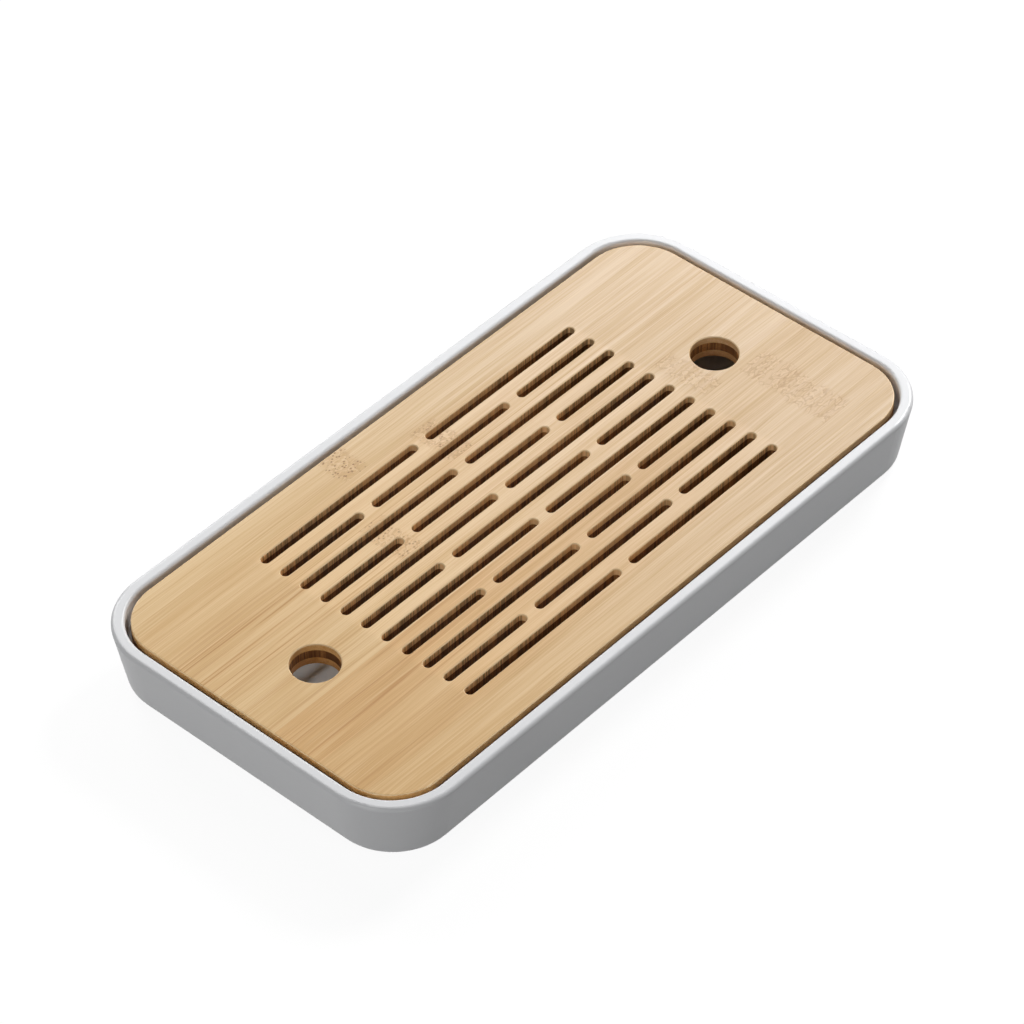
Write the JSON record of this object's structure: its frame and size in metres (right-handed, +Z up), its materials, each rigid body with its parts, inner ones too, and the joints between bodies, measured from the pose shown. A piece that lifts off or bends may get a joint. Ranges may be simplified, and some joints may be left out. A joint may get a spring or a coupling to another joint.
{
  "type": "gongfu tea tray",
  "caption": "Long tea tray: a rounded white basin catches the water that drains through a slotted bamboo panel, which lifts out by two finger holes.",
  "frame": {"origin": "on the table under the middle of the tray", "axes": "+X along the tray's long side, +Y across it, +Z up"},
  "size_m": [0.2716, 0.1404, 0.0262],
  "materials": {
    "white_moulding": "satin",
    "foot_rubber": "matt",
    "face_bamboo": "satin varnish",
    "core_bamboo": "satin varnish"
  },
  "bodies": {
    "tray": {"tray_basin": "white_moulding", "foot_pad_1": "foot_rubber", "foot_pad_2": "foot_rubber", "foot_pad_3": "foot_rubber", "foot_pad_4": "foot_rubber"},
    "panel": {"bottom_strip_1": "face_bamboo", "bottom_strip_2": "face_bamboo", "bottom_strip_3": "face_bamboo", "bottom_strip_4": "face_bamboo", "bottom_strip_5": "face_bamboo", "bottom_strip_6": "face_bamboo", "bottom_strip_7": "face_bamboo", "core_ply": "core_bamboo", "top_strip_1": "face_bamboo", "top_strip_2": "face_bamboo", "top_strip_3": "face_bamboo", "top_strip_4": "face_bamboo", "top_strip_5": "face_bamboo", "top_strip_6": "face_bamboo", "top_strip_7": "face_bamboo"}
  },
  "joints": [
    {"name": "panel_lift", "type": "slide", "parent": "tray", "child": "panel", "axis": [0, 0, 1], "range_m": [0, 0.06]}
  ]
}
